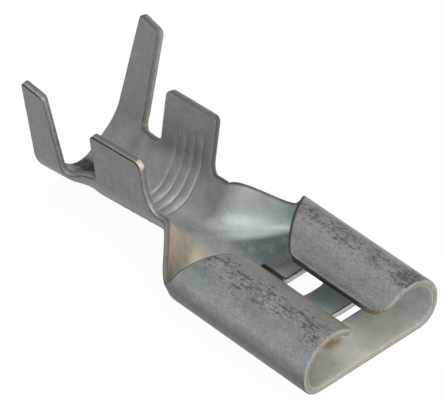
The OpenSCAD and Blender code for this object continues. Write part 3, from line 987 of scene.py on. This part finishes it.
for _, face, along_span, side_span, soft, colour, cover in stains_and_painted_light:
    patch = face * within(along_mm, along_span, soft) * within(side_mm, side_span, soft)
    tin = mixed(plate, patch * rising(patch_border_noise, 0.25, 0.5) * cover, tin, colour)
print("stains:", [name for name, *_ in stains_and_painted_light])

# %% [markdown]
# The forming tool drags over the top of each roll. It leaves dark scuffs in a band along that line, drawn
# out in the direction of travel, and pits where the plate was torn. Scratches could be modelled, but they
# are finer than the mesh. The band is a mask on the distance across the blank, and lowers the level above
# which the noise is a mark.

# %% Scuffs and pits on the rolls
on_roll = outer_face * (1.0 - rising(along_mm, wing_len_out - 0.6, wing_len_out))
on_roll = on_roll * rising(across_mm, 4.4, 5.2)
ROLL_TOP = 6.25
scuff_band = near_line(across_mm, ROLL_TOP, 0.2, 0.9) * on_roll
streaks = cloudy(plate, stretched(plate, plate_place, 0.25, 1.6), 4.6, seed=21.0, detail=5.0, rough=0.7)
pitting = cloudy(plate, stretched(plate, plate_place, 0.7, 1.0), 8.5, seed=27.0, detail=4.0, rough=0.75)
patches = cloudy(plate, plate_place, 1.1, seed=33.0, detail=1.0)
scuff_level = 0.70 - scuff_band * 0.15 - patches * 0.1
scuffs = rising(streaks, scuff_level, scuff_level + 0.12) * on_roll
mouth_wear = within(along_mm, (-0.1, 0.7), 0.4) * within(side_mm, (5.7, 6.7), 0.4) * outer_face
pit_level = 0.76 - scuff_band * 0.14 - on_roll * 0.055 - patches * 0.12 - mouth_wear * 0.11
pits = rising(pitting, pit_level, pit_level + 0.1)
marks = part_of(scuffs + pits)
SCUFF_DARK = (0.035, 0.033, 0.03, 1.0)
SCUFF_COVER = 0.8
worn = mixed(plate, marks * SCUFF_COVER, tin, SCUFF_DARK)
print("middle of the scuffed band, across the blank in mm:", ROLL_TOP)

# %% [markdown]
# Shearing pulls the plate over on one side and leaves a thin, dirty crease along the outer border of each
# cut; the line is drawn darker than that, as painted shade along the edge. The rounded edges of the blank
# carry their own number, so the crease needs no drawing. Noise breaks it up, but it is unbroken at the tips
# of the wings and along the rear edge of the rolls, where a wider dark band on the outer face is a painted
# shadow of the gap behind them. The rounded edges of the inner face are darker too, as painted shade, most
# of all round the openings.

# %% Dark borders of the cuts
edge_number = plate.node("ShaderNodeAttribute", {"attribute_name": "edge_turn"}, output=2)
CREASE_AND_SHADE_DARK = (0.04, 0.038, 0.033, 1.0)
CREASE_AND_SHADE_COVER = 0.9
BROKEN_COVER = 0.6
rounded = rising(edge_number, 0.2, 0.4)
# The crease is a dirty line that is also painted shade along the outer border of each cut.
crease = rounded * (1.0 - inner_face) * rising(along_mm, 0.05, 0.4)
at_wire_tip = rising(across_mm, wire_half - 0.3, wire_half - 0.1)
at_grip_tip = rising(across_mm, grip_half - 0.3, grip_half - 0.1)
unbroken = {
    "rear of the rolls": within(along_mm, (4.6, 8.4), 0.3) * rising(across_mm, 4.5, 5.1),
    "tips of the wire wings": within(along_mm, (wire_at - 0.2, wire_end + 0.2), 0.1) * at_wire_tip,
    "tips of the insulation wings": rising(along_mm, grip_at - 0.2, grip_at) * at_grip_tip}
crease_and_shade_cover = part_of(rising(mottling, 0.35, 0.65) * BROKEN_COVER + sum(unbroken.values()))
# Painted shadow: a dark band along the rear edge of the rolls.
slanted_mm = along_mm + (across_mm - notch_half) * (size.wing_slant / (wing_half - notch_half))
rear_painted_shadow = rising(slanted_mm, wing_len_out - 0.2, wing_len_out - 0.1)
rear_painted_shadow = rear_painted_shadow * rising(side_mm, notch_half + 0.6, notch_half + 1.0) * outer_face
worn = mixed(plate, rear_painted_shadow * CREASE_AND_SHADE_COVER, worn, CREASE_AND_SHADE_DARK)
worn = mixed(plate, crease * crease_and_shade_cover * CREASE_AND_SHADE_COVER, worn, CREASE_AND_SHADE_DARK)
print("the crease is unbroken at the:", list(unbroken))

# %% Rounded edges of the openings and the lip
LIP_BROWN = (0.13, 0.09, 0.05, 1.0)
EDGE_PAINTED_SHADE = 0.35
EDGE_COVER = 0.8
# Painted shade on the rounded edges of the inner face, darkest round the openings.
worn = scaled(plate, worn, 1.0 - rounded * inner_face * EDGE_PAINTED_SHADE)
near_openings = within(along_mm, (slot_at - 0.2, relief_end + 0.1), 0.1)
near_openings = near_openings * (1.0 - rising(across_mm, 2.2, 2.4))
worn = mixed(plate, rounded * near_openings * EDGE_COVER, worn, CREASE_AND_SHADE_DARK)
under_lip = (1.0 - rising(along_mm, 0.05, 0.3)) * (1.0 - rising(across_mm, 3.0, 3.6))
worn = mixed(plate, rounded * (1.0 - inner_face) * under_lip * EDGE_COVER, worn, LIP_BROWN)
print("rounded edges of the inner face are darker by a share of:", EDGE_PAINTED_SHADE)

# %% [markdown]
# The roughness follows the same layers: torn plate is rougher than the dull faces round it. A small bump
# gives the grain of the rolled strip and sinks the pits. The plate isn't a mirror, so it is not fully
# metallic, and the dark marks are not metallic at all.

# %% Plated faces
PLATE_METALLIC = 0.45
PLATE_ROUGHNESS = 0.44
PLATE_GLOSS = 0.3
BUMP_DEPTH = 0.02
plate_rough = PLATE_ROUGHNESS + (clouds - 0.5) * 0.2 + marks * 0.25 + rounded * 0.3
relief = grain * 0.5 + mottling * 0.5 - marks * 1.2
plate_bump = plate.node("ShaderNodeBump", inputs={
    "Strength": 0.35, "Distance": BUMP_DEPTH * MM, "Height": relief})
plate_shader = plate.node("ShaderNodeBsdfPrincipled", inputs={
    "Base Color": worn, "Metallic": (1.0 - marks) * PLATE_METALLIC, "Roughness": plate_rough,
    "Specular IOR Level": PLATE_GLOSS, "Normal": plate_bump})
finish_with(plate, plate_shader)
print("nodes of the plated finish:", len(plated.node_tree.nodes))

# %% [markdown]
# A sheared edge shows what is under the plate. The punch first cuts the brass smoothly and then tears it,
# so the edge has a burnished strip and a darker torn strip, with tarnish in patches. The walls of the slot
# and the window are painted light, pale as if lit from the front, and those of the relief, of the edges
# turned in under the rolls and of the neck's far side are painted shade, nearly black. Each cut could have
# a material of its own. Masks on the blank tell the cuts apart, so one is enough.

# %% Places on the sheared edges
shear_place = blank_place(shear)
shear_along, shear_side, shear_across, shear_height = blank_mm(shear, shear_place)
torn = rising(shear_height + (cloudy(shear, shear_place, 3.0, seed=41.0) - 0.5) * 0.2, -0.08, 0.04)
tarnish = rising(cloudy(shear, shear_place, 1.4, seed=45.0), 0.47, 0.6)
flecks = rising(cloudy(shear, shear_place, 7.0, seed=57.0, detail=3.0, rough=0.7), 0.55, 0.7)
at_mouth = 1.0 - rising(shear_along, 0.1, 0.5)
on_lip = 1.0 - rising(shear_across, 2.6, 3.8)
low_border = (1.0 - rising(shear_height, -0.12, -0.05)) * at_mouth * on_lip
near_middle = 1.0 - rising(shear_across, 2.2, 2.6)
in_floor = within(shear_along, (slot_at - 0.2, window_end + 0.1), 0.1) * near_middle
in_relief = within(shear_along, (window_end + 0.2, relief_end), 0.1) * near_middle
on_returns = rising(shear_across, wing_half - 0.6, wing_half - 0.2) * (1.0 - rising(shear_along, 6.0, 7.0))
far_neck = within(shear_along, (wing_len_out - 0.4, wire_at + 0.1), 0.2) * rising(shear_side, 1.6, 2.0)
rubbed_corner = within(shear_along, (wire_at - 0.1, wire_at + 0.2), 0.12)
rubbed_corner = rubbed_corner * within(shear_side, (-wire_half - 0.1, 0.3 - wire_half), 0.12)
print("nodes of the masks on the sheared edges:", len(sheared.node_tree.nodes))

# %% Sheared edges
BRASS_METALLIC = 0.35
BRASS_ROUGHNESS = 0.48
BRASS_GLOSS = 0.2
BRASS_CUT = (0.3, 0.295, 0.27, 1.0)
BRASS_MOUTH = (0.35, 0.34, 0.3, 1.0)
BRASS_TORN = (0.18, 0.172, 0.152, 1.0)
BRASS_TARNISH = (0.22, 0.145, 0.075, 1.0)
BRASS_TAN = (0.44, 0.35, 0.24, 1.0)
BRASS_BLACK_AND_SHADE = (0.03, 0.028, 0.024, 1.0)
WALL_PAINTED_LIGHT = (0.62, 0.64, 0.63, 1.0)
BRASS_BRIGHT = (0.62, 0.53, 0.43, 1.0)
brass = mixed(shear, torn, BRASS_CUT, BRASS_TORN)
layers = [
    (at_mouth * (0.3 + on_lip * 0.55), BRASS_MOUTH),
    (at_mouth * tarnish * (1.0 - rising(shear_across, 2.4, 3.0)) * 0.7, BRASS_TAN),
    (part_of(tarnish * 0.15 + low_border * 0.7), BRASS_TARNISH),
    (flecks * 0.5, BRASS_BLACK_AND_SHADE),
    # Painted light on the walls of the slot and the window, and painted shade on the relief, the turned-in
    # edges and the neck's far side.
    (in_floor * 0.9, WALL_PAINTED_LIGHT),
    (part_of(in_relief + on_returns) * 0.95, BRASS_BLACK_AND_SHADE),
    (on_returns * (1.0 - rising(shear_along, 1.0, 1.5)), BRASS_TARNISH),
    (far_neck * 0.6, BRASS_BLACK_AND_SHADE),
    (rubbed_corner * 0.8, BRASS_BRIGHT)]
for cover, colour in layers:
    brass = mixed(shear, cover, brass, colour)
shear_grain = cloudy(shear, shear_place, 12.0, seed=51.0)
shear_bump = shear.node("ShaderNodeBump", inputs={
    "Strength": 0.25, "Distance": BUMP_DEPTH * MM, "Height": shear_grain})
shear_shader = shear.node("ShaderNodeBsdfPrincipled", inputs={
    "Base Color": brass, "Metallic": BRASS_METALLIC, "Roughness": BRASS_ROUGHNESS + torn * 0.2,
    "Specular IOR Level": BRASS_GLOSS, "Normal": shear_bump})
finish_with(shear, shear_shader)
print("nodes of the sheared edges:", len(sheared.node_tree.nodes))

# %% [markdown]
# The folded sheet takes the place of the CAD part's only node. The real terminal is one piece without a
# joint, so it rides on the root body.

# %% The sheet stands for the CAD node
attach(terminal, "root")
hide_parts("terminal")
print("triangles of the sheet:", sum(len(face.vertices) - 2 for face in terminal_mesh.polygons))

# %% [markdown]
# The floor is white paper. To keep it white in the picture and in reflections without more light on the
# part, the rays from the camera, from mirrors and through clear things see mostly a white glow, with a
# little of the lit paper, which holds the shadow. All other rays see plain paper.

# %% Floor
FLOOR_REACH = 0.3
floor_mesh = bpy.data.meshes.new("floor")
floor_mesh.from_pydata([(-FLOOR_REACH, -FLOOR_REACH, 0), (FLOOR_REACH, -FLOOR_REACH, 0),
                        (FLOOR_REACH, FLOOR_REACH, 0), (-FLOOR_REACH, FLOOR_REACH, 0)], [], [(0, 1, 2, 3)])
floor = add_object("floor", floor_mesh)
paper_material = bpy.data.materials.new("white_paper")
paper = empty_tree(paper_material)
fibres = cloudy(paper, paper.node("ShaderNodeTexCoord", output=3), 0.3, seed=3.0)
paper_colour = mixed(paper, fibres, grey(0.72), grey(0.76))
lit_paper = paper.node("ShaderNodeBsdfPrincipled", inputs={"Base Color": paper_colour, "Roughness": 0.9})
glow = paper.node("ShaderNodeEmission", inputs={"Color": grey(1.0), "Strength": 1.0})
CAMERA_RAY, GLOSSY_RAY, THROUGH_RAY = 0, 3, 6
seen = [paper.node("ShaderNodeLightPath", output=ray) for ray in (CAMERA_RAY, GLOSSY_RAY, THROUGH_RAY)]
WHITE_SHARE = 0.96
white_part = part_of(seen[0] + seen[1] + seen[2]) * WHITE_SHARE
finish_with(paper, paper.node("ShaderNodeMixShader", inputs={0: white_part, 1: lit_paper, 2: glow}))
floor_mesh.materials.append(paper_material)
print("floor of", 2 * FLOOR_REACH, "m, white share", WHITE_SHARE)

# %% [markdown]
# Bare metal shows what is round it, so the light is mostly a large soft surround: cool on the near side,
# warm on the far side, brighter overhead and in front of the mouth. A picture of a studio would do it too,
# but a few sums on the direction are enough for a dull plate.

# %% Soft surround
world = bpy.data.worlds.new("studio")
bpy.context.scene.world = world
sky = empty_tree(world)
sky_x, sky_y, sky_z = sky.split(sky.node("ShaderNodeTexCoord", output=0))
COOL_LIGHT = (0.9, 1.0, 1.0, 1.0)
WARM_LIGHT = (1.0, 0.96, 0.86, 1.0)
sky_colour = mixed(sky, ease(-0.35, 0.75, sky_y - sky_z * 0.3), COOL_LIGHT, WARM_LIGHT)
SKY_LEVEL = 0.345
sky_level = SKY_LEVEL + part_of(sky_z) * 0.14 + sky_x * 0.07 + sky_y * 0.04
sky_light = sky.node("ShaderNodeBackground", inputs={"Color": sky_colour, "Strength": sky_level})
finish_with(sky, sky_light, "ShaderNodeOutputWorld")
print("nodes of the surround:", len(world.node_tree.nodes))

# %% [markdown]
# Five weak, broad lamps give the light a direction. The key lamp and a second one below it stand in front
# of the mouth: the far side of the neck, which faces that way, mirrors them as a wide sheen. A warm low
# lamp reaches under the rolls, one on the left lights the near wings, and one overhead the flat faces.

# %% Lamps
LAMP_AWAY = 0.2
lamps = [("key", (0.8, -0.25, 0.55), 0.21, 0.16, (1.0, 1.0, 1.0)),
         ("front", (0.84, -0.55, 0.1), 0.18, 0.16, (0.93, 1.0, 1.0)),
         ("low front", (0.9, 0.25, 0.32), 0.1, 0.1, (1.0, 0.95, 0.85)),
         ("left", (-0.56, -0.8, 0.2), 0.05, 0.14, (0.93, 1.0, 1.0)),
         ("overhead", (-0.05, 0.1, 1.0), 0.1, 0.16, (1.0, 1.0, 0.98))]
for name, way, energy, width, colour in lamps:
    lamp_data = bpy.data.lights.new(name, "AREA")
    lamp_data.energy = energy
    lamp_data.size = width
    lamp_data.color = colour
    lamp = add_object(name, lamp_data)
    lamp_place = Vector(way).normalized() * LAMP_AWAY
    lamp_turn = lamp_place.to_track_quat("Z", "Y").to_matrix().to_4x4()
    lamp.matrix_world = Matrix.Translation(lamp_place) @ lamp_turn
print("lamps:", len(bpy.data.lights))

# %% [markdown]
# The photograph was taken from above the mouth's near side with a long lens, so the part hardly narrows
# with distance. The camera could be placed by eye. Here its two angles, its lens and its offset from the
# mouth, in millimetres to the right, up and back, come from a fit to the outline in the photograph.

# %% Camera
CAMERA_AZIMUTH = 46.8594
CAMERA_ELEVATION = 39.9005
CAMERA_OFFSET = (-6.0258, 6.4408, 192.1902)
CAMERA_LENS = 388.66
SENSOR_WIDTH = 36
NEAREST = 0.01
azimuth = math.radians(CAMERA_AZIMUTH)
elevation = math.radians(CAMERA_ELEVATION)
right = Vector((math.cos(azimuth), math.sin(azimuth), 0))
back = Vector((math.sin(azimuth) * math.cos(elevation), -math.cos(azimuth) * math.cos(elevation),
               math.sin(elevation)))
above = back.cross(right)
camera_data = bpy.data.cameras.new("camera")
camera_data.lens = CAMERA_LENS
camera_data.sensor_width = SENSOR_WIDTH
camera_data.sensor_fit = "HORIZONTAL"
camera_data.clip_start = NEAREST
camera = add_object("camera", camera_data)
mouth = Vector((mouth_x, 0, floor_up))
offsets = zip((right, above, back), CAMERA_OFFSET)
place = (mouth + sum((axis * length for axis, length in offsets), Vector())) * MM
turned = Matrix((right, above, back)).transposed().to_4x4()
camera.matrix_world = Matrix.Translation(place) @ turned
bpy.context.scene.camera = camera
bpy.context.scene.view_settings.view_transform = "Standard"
print("camera at, in mm:", [round(value / MM, 1) for value in place])

# %% [markdown] The box of the CAD part and the box of this model have to agree.
